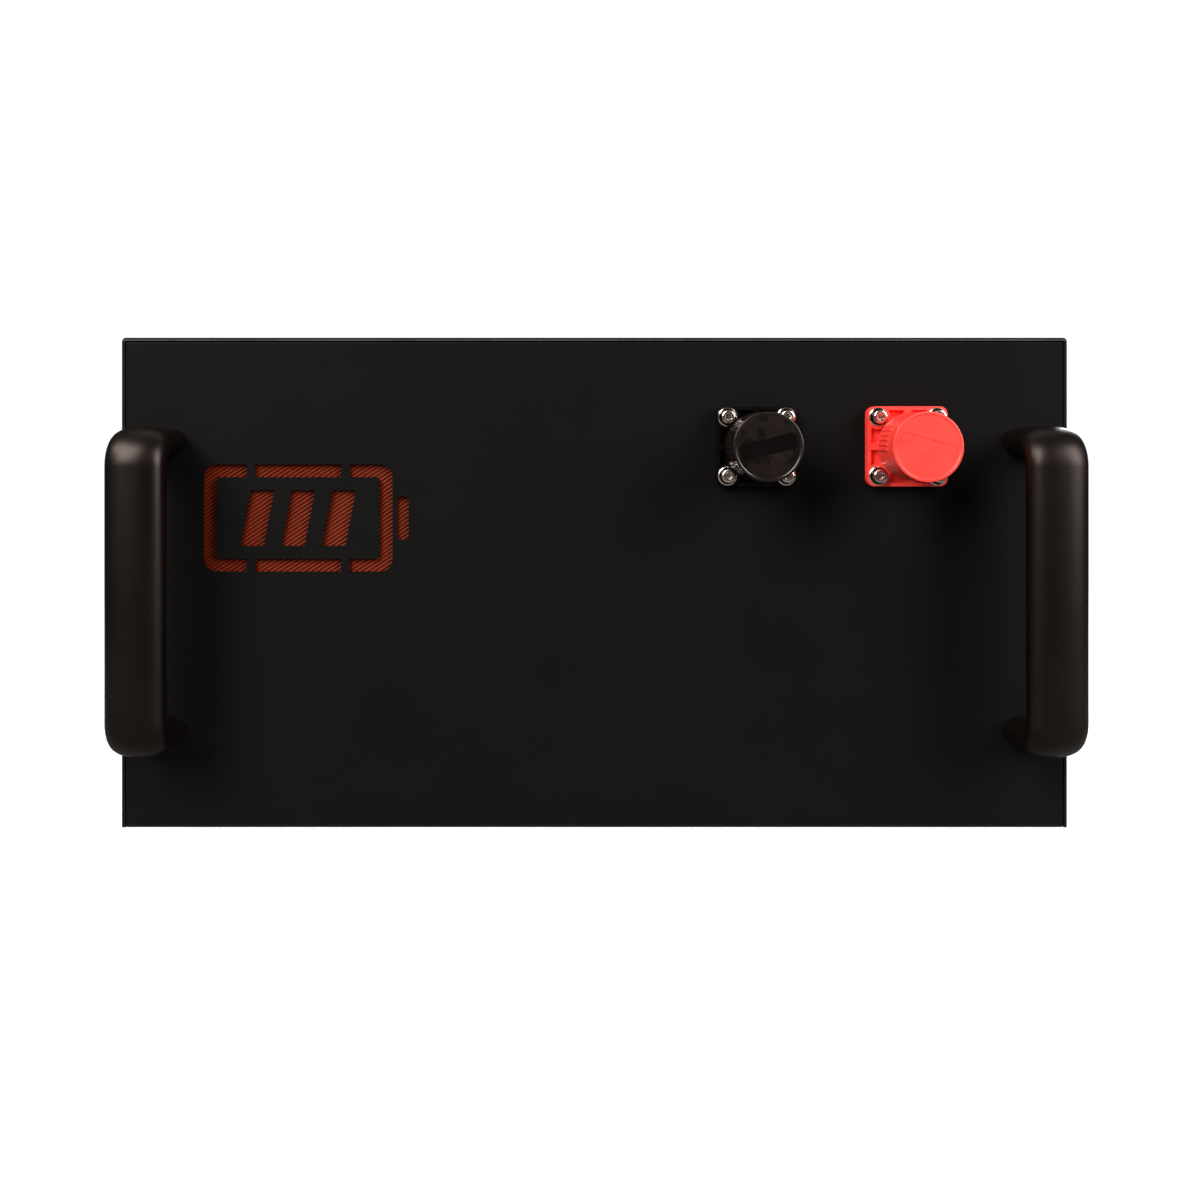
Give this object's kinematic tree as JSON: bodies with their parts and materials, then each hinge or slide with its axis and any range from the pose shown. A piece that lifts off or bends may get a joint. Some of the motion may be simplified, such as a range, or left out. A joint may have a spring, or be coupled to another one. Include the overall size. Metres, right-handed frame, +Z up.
{
  "type": "battery pack",
  "caption": "Front-terminal battery pack: folded sheet-steel case with bridge handles, flanged through-panel terminals under turning pull-off caps, and a cell block inside.",
  "frame": {"origin": "centre of the case's underside, on the surface it stands on", "axes": "+Z up, -Y out of the front panel with the terminals and handles, +X to the viewer's right when facing the front panel"},
  "size_m": [0.4446, 0.418, 0.228],
  "materials": {
    "powder_coat": "fine-textured black powder coat",
    "orange_plate": "diagonally ribbed, orange lacquer",
    "handle_plastic": "satin moulded plastic",
    "black_plastic": "semi-gloss moulded plastic",
    "red_plastic": "semi-gloss moulded plastic",
    "black_steel": "black oxide",
    "zinc_steel": "bright nickel plate",
    "brass": "machined",
    "copper": "rolled copper, tinned posts",
    "seal_rubber": "matte rubber",
    "cell_wrap": "blue insulating film over an aluminium can",
    "aluminium": "mill finish",
    "insulation": "epoxy glass sheet",
    "red_jacket": "silicone cable jacket",
    "black_jacket": "silicone cable jacket"
  },
  "bodies": {
    "case": {"base_pan": "powder_coat", "cover": "powder_coat", "badge_backing": "orange_plate", "cover_screw_left_front": "black_steel", "cover_screw_left_rear": "black_steel", "cover_screw_left_lower_front": "black_steel", "cover_screw_left_lower_rear": "black_steel", "cover_screw_right_front": "black_steel", "cover_screw_right_rear": "black_steel", "cover_screw_right_lower_front": "black_steel", "cover_screw_right_lower_rear": "black_steel", "handle_left": "handle_plastic", "handle_right": "handle_plastic", "handle_screw_top_left": "zinc_steel", "handle_screw_top_right": "zinc_steel", "handle_screw_bottom_left": "zinc_steel", "handle_screw_bottom_right": "zinc_steel", "black_terminal_screw_top_left": "zinc_steel", "black_terminal_screw_top_right": "zinc_steel", "black_terminal_screw_bottom_left": "zinc_steel", "black_terminal_screw_bottom_right": "zinc_steel", "red_terminal_screw_top_left": "zinc_steel", "red_terminal_screw_top_right": "zinc_steel", "red_terminal_screw_bottom_left": "zinc_steel", "red_terminal_screw_bottom_right": "zinc_steel", "black_stud_nut": "zinc_steel", "red_stud_nut": "zinc_steel", "strap_lower": "zinc_steel", "strap_upper": "zinc_steel", "black_terminal_base": "black_plastic", "red_terminal_base": "red_plastic", "black_terminal_stud": "brass", "red_terminal_stud": "brass", "cell_left_1": "cell_wrap", "cell_left_2": "cell_wrap", "cell_left_3": "cell_wrap", "cell_left_4": "cell_wrap", "cell_right_1": "cell_wrap", "cell_right_2": "cell_wrap", "cell_right_3": "cell_wrap", "cell_right_4": "cell_wrap", "busbar_left_1": "copper", "busbar_left_2": "copper", "busbar_left_3": "copper", "busbar_right_1": "copper", "busbar_right_2": "copper", "busbar_right_3": "copper", "busbar_cross": "copper", "end_plate_front": "aluminium", "end_plate_rear": "aluminium", "bms_module": "aluminium", "floor_insulation": "insulation", "top_insulation": "insulation", "positive_cable": "red_jacket", "negative_cable": "black_jacket", "output_cable": "black_jacket"},
    "black_seal_body": {"black_cap_seal": "seal_rubber"},
    "black_cap_body": {"black_cap": "black_plastic"},
    "red_seal_body": {"red_cap_seal": "seal_rubber"},
    "red_cap_body": {"red_cap": "red_plastic"}
  },
  "joints": [
    {"name": "black_cap_turn", "type": "hinge", "parent": "case", "child": "black_seal_body", "pos_m": [0.0748, -0.19, 0.1774], "axis": [0, -1, 0], "continuous": true},
    {"name": "black_cap_pull", "type": "slide", "parent": "black_seal_body", "child": "black_cap_body", "axis": [0, -1, 0], "range_m": [0, 0.032]},
    {"name": "red_cap_turn", "type": "hinge", "parent": "case", "child": "red_seal_body", "pos_m": [0.1444, -0.19, 0.1774], "axis": [0, -1, 0], "continuous": true},
    {"name": "red_cap_pull", "type": "slide", "parent": "red_seal_body", "child": "red_cap_body", "axis": [0, -1, 0], "range_m": [0, 0.032]}
  ]
}
